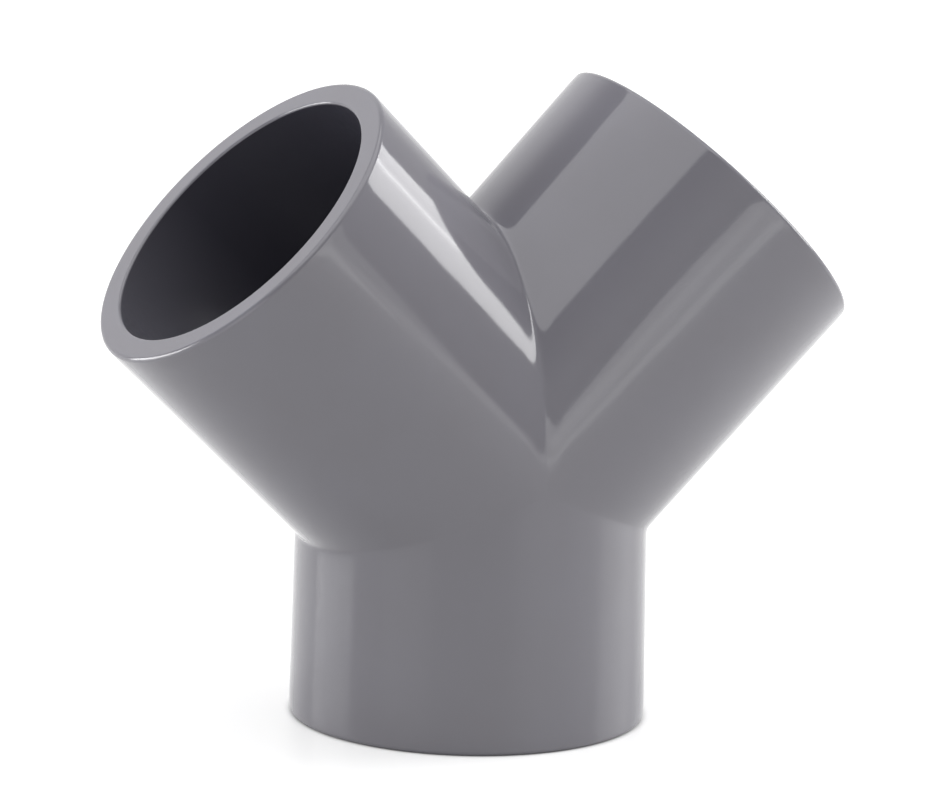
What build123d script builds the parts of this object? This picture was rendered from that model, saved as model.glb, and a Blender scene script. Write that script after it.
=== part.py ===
from build123d import *
import math
import os

# A symmetric wye for solvent-welded pressure pipe, injection moulded in one piece:
# a stem that forks into two equal branches, each arm ending in a pipe socket.
# Lengths are in millimetres and angles in degrees.
# The origin is the centre of the stem's mouth, which the fitting stands on. Z runs
# up the stem, and both branches lean along X. Everything else follows these sizes.

PIPE_OD = 63.0          # outside diameter of the pipe that all three sockets take
PIPE_WALL = 3.0         # wall of that pipe, whose bore the waterway runs on from
CEMENT_GAP = 0.1        # room all round the pipe, for the solvent cement
SOCKET_DEPTH = 37.5     # from a mouth to its pipe stop
SHELL_WALL = 4.7        # wall round a socket's bore, at its thinnest, by the junction
DRAFT = 0.75            # angle by which barrels and waterways widen towards the mouths
FORK_ANGLE = 90.0       # between the axes of the two branches
STOP_LAND = 1.0         # from the valley beside a barrel to its pipe stop
VALLEY_ROUND = 1.2      # radius in the valleys where the barrels meet outside
WATERWAY_ROUND = 1.0    # radius on the edges where the waterways meet inside
MOUTH_BEVEL = 0.6       # on a mouth's outer edge
LEAD_IN = 0.5           # bevel on a mouth's inner edge, which guides the pipe in

SOCKET_R = PIPE_OD / 2 + CEMENT_GAP
BARREL_R = SOCKET_R + SHELL_WALL        # of every barrel, measured at the junction
WATERWAY_R = PIPE_OD / 2 - PIPE_WALL    # of every waterway, measured at the junction
DRAFT_SLOPE = math.tan(math.radians(DRAFT))

# Each arm's direction, as its angle from +Z towards +X.
STEM = 180.0
RIGHT_BRANCH = FORK_ANGLE / 2
LEFT_BRANCH = -FORK_ANGLE / 2
ARMS = (STEM, RIGHT_BRANCH, LEFT_BRANCH)


def angle_between(arm, other):
    apart = abs(arm - other) % 360
    return min(apart, 360 - apart)


def stop_distance(arm):
    """From the junction to an arm's pipe stop, just past the valley to its nearest neighbour."""
    nearest = min(angle_between(arm, other) for other in ARMS if other != arm)
    valley = BARREL_R / (math.tan(math.radians(nearest / 2)) - DRAFT_SLOPE)
    return valley + STOP_LAND


def reach(arm):
    """From the junction to an arm's mouth."""
    return stop_distance(arm) + SOCKET_DEPTH


def turned(section):
    """A half section, drawn with X as the radius and Z as the arm's axis, turned into a solid."""
    return revolve(make_face(section), Axis.Z, 360)


def barrel(arm):
    """The outside of one arm: a barrel that widens towards a mouth with a bevelled edge."""
    mouth = reach(arm)
    tail = -BARREL_R
    section = Polyline(
        (0, 0, tail),
        (BARREL_R + tail * DRAFT_SLOPE, 0, tail),
        (BARREL_R + mouth * DRAFT_SLOPE, 0, mouth),
        (0, 0, mouth),
        close=True,
    )
    solid = turned(section)
    return chamfer(solid.edges().sort_by(Axis.Z)[-1], MOUTH_BEVEL)


def core_pin(arm):
    """The inside of one arm: the waterway, the pipe stop, the socket and its bevelled lead-in."""
    mouth = reach(arm)
    stop = stop_distance(arm)
    tail = -WATERWAY_R
    past_mouth = mouth + LEAD_IN
    section = Polyline(
        (0, 0, tail),
        (WATERWAY_R + tail * DRAFT_SLOPE, 0, tail),
        (WATERWAY_R + stop * DRAFT_SLOPE, 0, stop),
        (SOCKET_R, 0, stop),
        (SOCKET_R, 0, mouth - LEAD_IN),
        (SOCKET_R + 2 * LEAD_IN, 0, past_mouth),
        (0, 0, past_mouth),
        close=True,
    )
    return turned(section)


def direction(arm):
    lean = math.radians(arm)
    return Vector(math.sin(lean), 0, math.cos(lean))


def mitre(solid, arm):
    """Lean an upright solid to its arm, and cut it on the planes that halve the angles beside it."""
    leaning = Rot(0, arm, 0) * solid
    for other in ARMS:
        if other != arm:
            halfway = Plane(origin=(0, 0, 0), z_dir=direction(arm) - direction(other))
            leaning = split(leaning, bisect_by=halfway, keep=Keep.TOP)
    return leaning


def joined(make_arm, valley_round):
    """Three arms joined at the junction.

    All three have one radius there and one draft, so they touch one sphere, and neighbours
    meet in flat ellipses that run out to nothing at the front and back of the junction.
    """
    arms = [mitre(make_arm(arm), arm) for arm in ARMS]
    whole = arms[0] + arms[1] + arms[2]
    valleys = whole.edges().filter_by(GeomType.ELLIPSE)
    return fillet(valleys, valley_round)


def wye_body():
    outside = joined(barrel, VALLEY_ROUND)
    inside = joined(core_pin, WATERWAY_ROUND)
    return Pos(0, 0, reach(STEM)) * (outside - inside)


os.makedirs("parts", exist_ok=True)
export_step(wye_body(), "parts/wye_body.step")
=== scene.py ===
import bpy
import bmesh
import math
from mathutils import Matrix, Vector


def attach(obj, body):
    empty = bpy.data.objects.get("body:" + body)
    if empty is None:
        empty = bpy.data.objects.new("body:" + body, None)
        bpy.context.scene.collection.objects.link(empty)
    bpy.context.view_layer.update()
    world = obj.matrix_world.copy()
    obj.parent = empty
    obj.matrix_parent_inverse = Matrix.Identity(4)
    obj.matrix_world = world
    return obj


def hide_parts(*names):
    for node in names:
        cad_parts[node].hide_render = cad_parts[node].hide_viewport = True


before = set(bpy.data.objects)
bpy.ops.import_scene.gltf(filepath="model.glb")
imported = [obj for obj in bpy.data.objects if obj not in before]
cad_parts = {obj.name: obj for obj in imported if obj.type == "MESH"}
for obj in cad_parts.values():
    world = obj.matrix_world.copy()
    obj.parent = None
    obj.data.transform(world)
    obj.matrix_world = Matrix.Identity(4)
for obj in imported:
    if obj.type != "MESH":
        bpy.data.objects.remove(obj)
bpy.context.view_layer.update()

scene = bpy.context.scene

MM = 0.001      # one millimetre in the frame's metres


# ---------------------------------------------------------------- helpers

def linear(hex_colour):
    """An sRGB hex colour as the linear RGBA that Blender's sockets take."""
    channels = [int(hex_colour[i:i + 2], 16) / 255 for i in (1, 3, 5)]
    return [c / 12.92 if c <= 0.04045 else ((c + 0.055) / 1.055) ** 2.4 for c in channels] + [1.0]


def add(tree, kind, inputs=None, **settings):
    """Adds a node with its settings, and fills its inputs with values or other nodes' outputs."""
    node = tree.nodes.new(kind)
    for name, value in settings.items():
        setattr(node, name, value)
    for name, value in (inputs or {}).items():
        if isinstance(value, bpy.types.NodeSocket):
            tree.links.new(value, node.inputs[name])
        else:
            node.inputs[name].default_value = value
    return node


def placed(name, data):
    """A new object in the scene, made of this mesh, lamp or camera."""
    obj = bpy.data.objects.new(name, data)
    scene.collection.objects.link(obj)
    return obj


def bearing(azimuth, elevation):
    """The unit vector that points from the fitting towards a place in the studio."""
    a, e = math.radians(azimuth), math.radians(elevation)
    return Vector((math.sin(a) * math.cos(e), -math.cos(a) * math.cos(e), math.sin(e)))


# ---------------------------------------------------------------- camera

# Angles are in degrees and lengths in metres, apart from the lens, which is in millimetres.
CAMERA_AZIMUTH = -24.936
CAMERA_ELEVATION = 11.990
CAMERA_ROLL = 1.445
CAMERA_DISTANCE = 1.3440
CAMERA_LENS = 246.2
AIM_HEIGHT = 0.0665     # the middle of the view, half way up the fitting
AIM_RIGHT = 0.000427    # how far it lies to the right of the stem's axis


def studio_camera():
    data = bpy.data.cameras.new("studio_camera")
    data.sensor_width = 36.0
    data.lens = CAMERA_LENS
    data.clip_start = 0.05
    data.clip_end = 50.0
    back = bearing(CAMERA_AZIMUTH, CAMERA_ELEVATION)
    level_right = bearing(CAMERA_AZIMUTH + 90, 0)
    level_up = back.cross(level_right)
    roll = math.radians(CAMERA_ROLL)
    right = level_right * math.cos(roll) + level_up * math.sin(roll)
    up = level_up * math.cos(roll) - level_right * math.sin(roll)
    aim = Vector((0, 0, AIM_HEIGHT)) + right * AIM_RIGHT
    turned = Matrix((right, up, back)).transposed().to_4x4()
    camera = placed("studio_camera", data)
    camera.matrix_world = Matrix.Translation(aim + back * CAMERA_DISTANCE) @ turned
    return camera


scene.camera = studio_camera()


# ---------------------------------------------------------------- materials

PVC_U_IOR = 1.53


def material_tree(name):
    material = bpy.data.materials.new(name)
    material.use_nodes = True
    material.node_tree.nodes.clear()
    return material, material.node_tree


def noise_scale(millimetres):
    """The scale at which a noise texture's lumps are about this size."""
    return 1 / (millimetres * MM)


def pvc_u_moulded_gloss():
    """The outside and the rims, copied from a polished mould.

    It gives the eye an even cool grey with clear reflections. Thick walls sink a little as they
    cool, so those reflections wander slightly, and the melt leaves a cloudiness that only just
    shows in the colour and in how sharp the reflections are.
    """
    material, tree = material_tree("pvc_u_moulded_gloss")
    place = add(tree, "ShaderNodeTexCoord").outputs["Object"]
    cloud = add(tree, "ShaderNodeTexNoise", {
        "Vector": place, "Scale": noise_scale(22), "Detail": 3.0})
    colour = add(tree, "ShaderNodeMix", {
        "Factor": cloud.outputs["Fac"], "A": linear("#757379"), "B": linear("#7a7981"),
    }, data_type="RGBA")
    haze = add(tree, "ShaderNodeTexNoise", {
        "Vector": place, "Scale": noise_scale(5), "Detail": 2.0})
    polish = add(tree, "ShaderNodeMapRange", {
        "Value": haze.outputs["Fac"],
        "From Min": 0.3, "From Max": 0.7, "To Min": 0.075, "To Max": 0.1})
    sink = add(tree, "ShaderNodeTexNoise", {
        "Vector": place, "Scale": noise_scale(16), "Detail": 1.0})
    uneven = add(tree, "ShaderNodeBump", {
        "Height": sink.outputs["Fac"], "Distance": 0.06 * MM, "Strength": 1.0})
    shader = add(tree, "ShaderNodeBsdfPrincipled", {
        "Base Color": colour.outputs["Result"], "Roughness": polish.outputs["Result"],
        "IOR": PVC_U_IOR, "Normal": uneven.outputs["Normal"]})
    add(tree, "ShaderNodeOutputMaterial", {"Surface": shader.outputs["BSDF"]})
    return material


def pvc_u_core_pin_side_painted_shade():
    """The socket walls and waterways, copied from the core pins.

    It gives the eye a dark, duller inside next to the glossy rims. The dark is painted shade for
    the sockets' recess. The walls that face upwards are painted lighter, as painted light from
    above, so a leaning socket is lightest near its lowest point.
    """
    material, tree = material_tree("pvc_u_core_pin_side_painted_shade")
    place = add(tree, "ShaderNodeTexCoord")
    facing = add(tree, "ShaderNodeSeparateXYZ", {"Vector": place.outputs["Normal"]})
    # Painted light: walls that face upwards are made lighter, as if lit from above through the
    # mouth.
    painted_upward_light = add(tree, "ShaderNodeMapRange", {
        "Value": facing.outputs["Z"], "From Min": 0.0, "From Max": 0.6})
    # Both greys are painted shade, darker than the moulding's grey outside, for the shade in the
    # sockets.
    colour = add(tree, "ShaderNodeMix", {
        "Factor": painted_upward_light.outputs["Result"], "A": linear("#3c3b44"), "B": linear("#5d5c64"),
    }, data_type="RGBA")
    grain = add(tree, "ShaderNodeTexNoise", {
        "Vector": place.outputs["Object"], "Scale": noise_scale(1.5), "Detail": 3.0})
    dull = add(tree, "ShaderNodeMapRange", {
        "Value": grain.outputs["Fac"],
        "From Min": 0.3, "From Max": 0.7, "To Min": 0.3, "To Max": 0.4})
    shader = add(tree, "ShaderNodeBsdfPrincipled", {
        "Base Color": colour.outputs["Result"], "Roughness": dull.outputs["Result"],
        "IOR": PVC_U_IOR})
    add(tree, "ShaderNodeOutputMaterial", {"Surface": shader.outputs["BSDF"]})
    return material


# ---------------------------------------------------------------- fitting

# The same named sizes as the part's own source, in millimetres and degrees.
SOCKET_R = 31.6
BARREL_R = 36.3
WATERWAY_R = 28.5
DRAFT_SLOPE = math.tan(math.radians(0.75))
SOCKET_DEPTH = 37.5
STOP_LAND = 1.0
STEM, RIGHT_BRANCH, LEFT_BRANCH = 180.0, 45.0, -45.0
ARMS = (STEM, RIGHT_BRANCH, LEFT_BRANCH)

VALLEY_CORE = 0.3       # length over which most of the turn in an outside valley is made
VALLEY_TAIL = 1.2       # length over which the rest fades out on to the barrels
VALLEY_END = 4.0        # where the barrels are plain again
WATERWAY_CORE = 0.3     # the same lengths for the edges where the waterways meet
WATERWAY_TAIL = 0.6
WATERWAY_END = 2.0
TAIL_SHARE = 0.3        # the tail's share of the turn, outside and inside
LIP_ROUND = 0.95        # radius of a mouth's outer edge
LIP_EASE = 2.2          # length over which a barrel eases in towards that edge
LIP_EASE_R = 50.0       # radius of that ease
LEAD_ROUND = 0.5        # radius of a mouth's inner edge
STOP_CORNER = 0.3       # radius in the corner of a pipe stop
STOP_EDGE = 0.4         # radius on its edge

COLUMNS = 144           # faces round an arm
VALLEY_STEPS = 12       # faces from the bottom of an outside valley to the plain barrel
WATERWAY_STEPS = 6      # the same inside
CROWDING = 2.2          # power that crowds those faces towards the bottom
FINE_STEPS = 12         # parts that each of those faces is added up from
NO_VALLEY = 1e-6        # sine of the angle round an arm, where the valleys run out to nothing
WELD = 0.001            # points closer than this are one, where arms meet


def apart(arm, other):
    """The angle between two arms, in radians."""
    turn = abs(arm - other) % 360
    return math.radians(min(turn, 360 - turn))


def stop_distance(arm):
    """From the junction to an arm's pipe stop, just past the valley to its nearest neighbour."""
    nearest = min(apart(arm, other) for other in ARMS if other != arm)
    return BARREL_R / (math.tan(nearest / 2) - DRAFT_SLOPE) + STOP_LAND


def barrel_r(s):
    """A barrel's radius at distance s from the junction."""
    return BARREL_R + DRAFT_SLOPE * s


def waterway_r(s):
    """A waterway's radius at distance s from the junction."""
    return WATERWAY_R + DRAFT_SLOPE * s


JUNCTION = Vector((0, 0, stop_distance(STEM) + SOCKET_DEPTH))


def valley_profile(tilt, core, tail, end, steps):
    """Half a valley's profile, in the plane that is square to the valley.

    It lies level at the bottom and has turned by tilt at its end, most of it within the core.
    Each row has the angle turned so far, and how far the profile has risen and run on.
    """
    def share(x):
        return 1 - (1 - TAIL_SHARE) * math.exp(-x / core) - TAIL_SHARE * math.exp(-x / tail)

    def turned(x):
        return tilt * share(x) / share(end)

    rows = [(0.0, 0.0, 0.0)]
    x, rise, run = 0.0, 0.0, 0.0
    for k in range(1, steps + 1):
        step = (end * (k / steps) ** CROWDING - end * ((k - 1) / steps) ** CROWDING) / FINE_STEPS
        for part in range(FINE_STEPS):
            a = turned(x + step / 2)
            x, rise, run = x + step, rise + math.sin(a) * step, run + math.cos(a) * step
        rows.append((turned(x), rise, run))
    return rows


class Arm:
    """One arm's own directions: along its axis, to the front, and across in the fork's plane."""

    def __init__(self, lean):
        a = math.radians(lean)
        self.axis = Vector((math.sin(a), 0, math.cos(a)))
        self.front = Vector((0, -1, 0))
        self.across = self.axis.cross(self.front)
        self.stop = stop_distance(lean)
        self.mouth = self.stop + SOCKET_DEPTH
        self.ease_from = self.mouth - LIP_ROUND - LIP_EASE
        self.neighbour = {}     # the angle to each. True is the one on the side across points to
        for other in ARMS:
            if other != lean:
                b = math.radians(other)
                side = Vector((math.sin(b), 0, math.cos(b))).dot(self.across)
                self.neighbour[side > 0] = apart(lean, other)

    def out(self, phi):
        """Straight out from the axis, at the angle phi from the front towards across."""
        return self.front * math.cos(phi) + self.across * math.sin(phi)

    def ring(self, r, s, phi, nr, ns):
        """A point at radius r and distance s from the junction, and its normal."""
        out = self.out(phi)
        return self.axis * s + out * r, (out * nr + self.axis * ns).normalized()

    def valley(self, radius, core, tail, end, steps):
        """Half a valley for every column: from its bottom up to the plain barrel.

        Neighbours are mirror images in the plane between them, so each makes its own half.
        It all shrinks to nothing at the junction's front and back, where the barrels run
        into each other smoothly. Gives each column's points with normals, and where it ends.
        """
        turns = [2 * math.pi * k / COLUMNS - math.pi for k in range(COLUMNS)]
        return [self.valley_column(radius, core, tail, end, steps, phi) for phi in turns]

    def valley_column(self, radius, core, tail, end, steps, phi):
        """The column of a valley that starts where the two cones meet at the angle phi."""
        sine = math.sin(phi)
        half = self.neighbour[sine > 0] / 2
        g = abs(sine) / math.tan(half)
        s = radius * g / (1 - DRAFT_SLOPE * g)
        sharp = self.axis * s + self.out(phi) * (radius + DRAFT_SLOPE * s)
        normal = (self.out(phi) - self.axis * DRAFT_SLOPE).normalized()
        if abs(sine) < NO_VALLEY:
            return [(sharp, normal)] * (steps + 1), (0.0, phi)

        # The profile runs along the normal of the plane between the neighbours, and rises in
        # that plane. It is lifted until its end meets the barrel's slope. Near the front and
        # back of the junction it shrinks with the distance to the line through both.
        side = 1 if sine > 0 else -1
        plane = self.axis * math.sin(half) - self.across * side * math.cos(half)
        middle = (normal - plane * normal.dot(plane)).normalized()
        tilt = math.acos(max(-1, min(1, normal.dot(middle))))
        profile = valley_profile(tilt, core, tail, end, steps)
        rise_end, run_end = profile[-1][1:]
        lift = run_end * math.tan(tilt) - rise_end
        shrink = min(1, 0.5 * sharp.cross(self.front).length / end)

        # The barrel is round, so its end is moved the last little way, and the rest in part.
        last = sharp + (middle * (rise_end + lift) + plane * run_end) * shrink
        along = last.dot(self.axis)
        flat = last - self.axis * along
        phi_end = math.atan2(flat.dot(self.across), flat.dot(self.front))
        on_barrel = radius + DRAFT_SLOPE * along
        settled, settled_normal = self.ring(on_barrel, along, phi_end, 1, -DRAFT_SLOPE)
        line = []
        for a, rise, run in profile:
            point = sharp + (middle * (rise + lift) + plane * run) * shrink
            facing = middle * math.cos(a) - plane * math.sin(a)
            part = (run / run_end) ** 2
            line.append((point + (settled - last) * part,
                         (facing + (settled_normal - normal) * part).normalized()))
        return line, (along, phi_end)


def arc(r, s, radius, start, end, steps, sign=1):
    """Points round a small edge, each as radius, distance and the normal's two parts.

    An angle of 0 faces outward, and 90 faces the way that the mouth does.
    """
    rows = []
    for k in range(steps + 1):
        a = math.radians(start + (end - start) * k / steps)
        outward, forward = math.cos(a), math.sin(a)
        rows.append((r + radius * outward, s + radius * forward, sign * outward, sign * forward))
    return rows


def mouth_rows(arm):
    """A barrel's eased end, the rim and the lead-in, as rows of the kind that arc gives."""
    def eased(d):
        s = arm.ease_from + d
        return barrel_r(s) - d * d / (2 * LIP_EASE_R), s, 1, d / LIP_EASE_R - DRAFT_SLOPE

    rows = [eased(LIP_EASE * t) for t in (0, 0.25, 0.5, 0.75)]
    edge_r, _, _, slope = eased(LIP_EASE)
    rim_out = edge_r - LIP_ROUND
    rim_in = SOCKET_R + LEAD_ROUND
    lean = math.degrees(math.atan(slope))
    rows += arc(rim_out, arm.mouth - LIP_ROUND, LIP_ROUND, lean, 90, 5)
    rows.append(((rim_out + rim_in) / 2, arm.mouth, 0, 1))
    rows += arc(rim_in, arm.mouth - LEAD_ROUND, LEAD_ROUND, 90, 180, 4)
    return rows


def socket_rows(arm):
    """The socket's wall and its pipe stop, as rows of the kind that arc gives."""
    length = SOCKET_DEPTH - LEAD_ROUND - STOP_CORNER
    rows = [(SOCKET_R, arm.mouth - LEAD_ROUND - t * length, -1, 0) for t in (0.25, 0.5, 0.75)]
    rows += arc(SOCKET_R - STOP_CORNER, arm.stop + STOP_CORNER, STOP_CORNER, 0, -90, 3, sign=-1)
    rows += arc(waterway_r(arm.stop) + STOP_EDGE, arm.stop - STOP_EDGE, STOP_EDGE, 90, 180, 3)
    return rows


def arm_rows(arm):
    """One arm's rings of points with normals, from the outside valleys over the mouth and in.

    Gives them with the number of the ring where the core pin's side of the moulding starts.
    """
    outside = arm.valley(BARREL_R, VALLEY_CORE, VALLEY_TAIL, VALLEY_END, VALLEY_STEPS)
    inside = arm.valley(WATERWAY_R, WATERWAY_CORE, WATERWAY_TAIL, WATERWAY_END, WATERWAY_STEPS)
    columns = [phi for line, (along, phi) in outside]

    rows = [[line[k] for line, end in outside] for k in range(VALLEY_STEPS + 1)]
    for t in (0.2, 0.4, 0.6, 0.8):
        row = []
        for line, (along, phi) in outside:
            s = along + (arm.ease_from - along) * t
            row.append(arm.ring(barrel_r(s), s, phi, 1, -DRAFT_SLOPE))
        rows.append(row)

    mouth = mouth_rows(arm)
    core_side = len(rows) + len(mouth) - 1
    for r, s, nr, ns in mouth + socket_rows(arm):
        rows.append([arm.ring(r, s, phi, nr, ns) for phi in columns])

    waterway_from = arm.stop - STOP_EDGE
    for t in (0.33, 0.66):
        row = []
        for line, (along, phi) in inside:
            s = waterway_from + (along - waterway_from) * t
            row.append(arm.ring(waterway_r(s), s, phi, -1, DRAFT_SLOPE))
        rows.append(row)
    for k in reversed(range(WATERWAY_STEPS + 1)):
        rows.append([(line[k][0], -line[k][1]) for line, end in inside])
    return rows, core_side


def moulded_body():
    """The fitting as one closed mesh, with its own normals so that the fine edges shade well."""
    b = bmesh.new()
    facing = b.verts.layers.float_vector.new("facing")
    for lean in ARMS:
        rows, core_side = arm_rows(Arm(lean))
        rings = []
        for row in rows:
            ring = []
            for point, normal in row:
                v = b.verts.new((JUNCTION + point) * MM)
                v[facing] = normal
                ring.append(v)
            rings.append(ring)
        for number, (near, far) in enumerate(zip(rings, rings[1:])):
            for k in range(COLUMNS):
                n = (k + 1) % COLUMNS
                face = b.faces.new((near[k], near[n], far[n], far[k]))
                face.material_index = 1 if number >= core_side else 0
                face.smooth = True
    bmesh.ops.remove_doubles(b, verts=b.verts, dist=WELD * MM)
    mesh = bpy.data.meshes.new("wye_moulding")
    b.to_mesh(mesh)
    normals = [v[facing].normalized() for v in b.verts]
    b.free()
    mesh.normals_split_custom_set_from_vertices(normals)
    mesh.materials.append(pvc_u_moulded_gloss())
    # The socket walls and waterways take the material with painted shade and painted light.
    mesh.materials.append(pvc_u_core_pin_side_painted_shade())
    obj = placed("wye_moulding", mesh)
    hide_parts("wye_body")
    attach(obj, "root")


moulded_body()


# ---------------------------------------------------------------- studio

# Lengths from here on are in metres, and angles in degrees.
FLOOR_HALF = 1.6          # half of the floor's side
FLOOR_GLOW = 0.49         # near the fitting
FLOOR_GLOW_FAR = 0.8      # where the lamps no longer reach
GLOW_RISES = (0.3, 1.2)   # from the first to the second at these distances from the stem
CRACK_REACH = 1.3 * MM    # how far the dark line under the rim spreads


def seen_or_mirrored(tree):
    """1 for what the camera sees, directly, mirrored or through glass.

    It is 0 for light that falls on things.
    """
    ray = add(tree, "ShaderNodeLightPath").outputs
    either = add(tree, "ShaderNodeMath", {
        0: ray["Is Camera Ray"], 1: ray["Is Glossy Ray"]}, operation="MAXIMUM")
    return add(tree, "ShaderNodeMath", {
        0: either.outputs[0], 1: ray["Is Transmission Ray"]}, operation="MAXIMUM").outputs[0]


def coated_paper_calendered():
    """The white sweep that the fitting stands on.

    It gives the eye an even white with a soft contact shadow. Its coating is smooth enough that
    at a low angle the lamps show in it as broad sheens, and the stem mirrors those.
    """
    material, tree = material_tree("coated_paper_calendered")
    matt = add(tree, "ShaderNodeBsdfDiffuse", {"Color": linear("#d2d2d2")})
    coating = add(tree, "ShaderNodeBsdfGlossy", {"Color": linear("#e0e0e0"), "Roughness": 0.33})
    glancing = add(tree, "ShaderNodeFresnel", {"IOR": 1.25})
    paper = add(tree, "ShaderNodeMixShader", {
        0: glancing.outputs[0], 1: matt.outputs[0], 2: coating.outputs[0]})
    place = add(tree, "ShaderNodeNewGeometry")
    away = add(tree, "ShaderNodeVectorMath", {
        0: place.outputs["Position"]}, operation="LENGTH")
    even = add(tree, "ShaderNodeMapRange", {
        "Value": away.outputs["Value"], "From Min": GLOW_RISES[0], "From Max": GLOW_RISES[1],
        "To Min": FLOOR_GLOW, "To Max": FLOOR_GLOW_FAR}, interpolation_type="SMOOTHSTEP")
    strength = add(tree, "ShaderNodeMath", {
        0: seen_or_mirrored(tree), 1: even.outputs["Result"]}, operation="MULTIPLY")
    # The glow dies out in the crack under the rim, which leaves a thin dark line there: a painted
    # contact shadow, made by an occlusion node.
    crack = add(tree, "ShaderNodeAmbientOcclusion", {
        "Color": (1, 1, 1, 1), "Distance": CRACK_REACH}, samples=16)
    glow = add(tree, "ShaderNodeEmission", {
        "Color": crack.outputs["Color"], "Strength": strength.outputs[0]})
    both = add(tree, "ShaderNodeAddShader", {0: paper.outputs[0], 1: glow.outputs[0]})
    add(tree, "ShaderNodeOutputMaterial", {"Surface": both.outputs[0]})
    return material


def studio_floor():
    b = bmesh.new()
    bmesh.ops.create_grid(b, x_segments=1, y_segments=1, size=FLOOR_HALF)
    mesh = bpy.data.meshes.new("studio_floor")
    b.to_mesh(mesh)
    b.free()
    mesh.materials.append(coated_paper_calendered())
    obj = placed("studio_floor", mesh)


def studio_walls():
    """Grey walls, darker above the left side and pale behind, with a white foot all round.

    The foot is only seen and mirrored, so it lights nothing. It leaves out the front right,
    where it would show in the fitting as a streak.
    """
    world = bpy.data.worlds.new("studio_walls")
    scene.world = world
    world.use_nodes = True
    tree = world.node_tree
    tree.nodes.clear()
    towards = add(tree, "ShaderNodeTexCoord").outputs["Generated"]

    def nearness(azimuth, elevation, start, end, at_start, at_end):
        """A level that changes as the dot product with a bearing goes from start to end."""
        near = add(tree, "ShaderNodeVectorMath", {
            0: towards, 1: bearing(azimuth, elevation)}, operation="DOT_PRODUCT")
        return add(tree, "ShaderNodeMapRange", {
            "Value": near.outputs["Value"], "From Min": start, "From Max": end,
            "To Min": at_start, "To Max": at_end},
            interpolation_type="SMOOTHSTEP").outputs["Result"]

    grey = nearness(-80, 50, start=0.35, end=0.8, at_start=0.5, at_end=0.05)
    pale = nearness(172, 8, start=0.65, end=0.95, at_start=0.0, at_end=0.5)
    wall = add(tree, "ShaderNodeMath", {0: grey, 1: pale}, operation="ADD")
    low = nearness(0, 90, start=0.062, end=0.11, at_start=1.0, at_end=0.0)
    not_front_right = nearness(45, 0, start=0.8, end=0.9, at_start=1.0, at_end=0.0)
    foot = add(tree, "ShaderNodeMath", {0: low, 1: not_front_right}, operation="MULTIPLY")
    white = add(tree, "ShaderNodeMath", {
        0: seen_or_mirrored(tree), 1: foot.outputs[0]}, operation="MULTIPLY")
    brighter = add(tree, "ShaderNodeMath", {
        0: wall.outputs[0], 1: white.outputs[0]}, operation="MAXIMUM")
    room = add(tree, "ShaderNodeBackground", {
        "Color": (1, 1, 1, 1), "Strength": brighter.outputs[0]})
    add(tree, "ShaderNodeOutputWorld", {"Surface": room.outputs[0]})


LAMP_AIM = Vector((0, 0, 0.06))     # the place that all the softboxes face


def softbox(name, azimuth, elevation, distance, width, height, radiance):
    """A rectangular lamp that faces the fitting.

    Its radiance sets how bright its reflection is, whatever its size.
    """
    data = bpy.data.lights.new(name, "AREA")
    data.shape = "RECTANGLE"
    data.size = width
    data.size_y = height
    data.energy = radiance * width * height * math.pi
    away = bearing(azimuth, elevation)
    obj = placed(name, data)
    obj.location = LAMP_AIM + away * distance
    obj.rotation_mode = "QUATERNION"
    obj.rotation_quaternion = away.to_track_quat("Z", "Y")
    obj.visible_camera = False


studio_floor()
studio_walls()

# Two panels side by side on the right, brighter along their seam, and a dim one overhead.
softbox("softbox_right_near", 77.2, 24, 0.8, 0.265, 0.44, 6.0)
softbox("softbox_right_far", 94.2, 24, 0.8, 0.19, 0.44, 5.3)
softbox("softbox_right_seam", 86.8, 24, 0.79, 0.07, 0.44, 1.2)
softbox("softbox_overhead", -69.5, 77, 1.0, 1.32, 1.41, 1.95)

# White cards and a long softbox near the floor, which show as soft bands on stem and branches.
softbox("card_front", 16.2, 1, 0.8, 0.34, 0.3, 1.5)
softbox("card_front_side", 32.2, 1, 0.8, 0.1, 0.3, 0.85)
softbox("card_left", -65, 8, 0.9, 0.5, 0.25, 1.5)
softbox("softbox_left", -123, 6.5, 0.9, 0.585, 0.27, 8.7)

scene.view_settings.view_transform = "Standard"
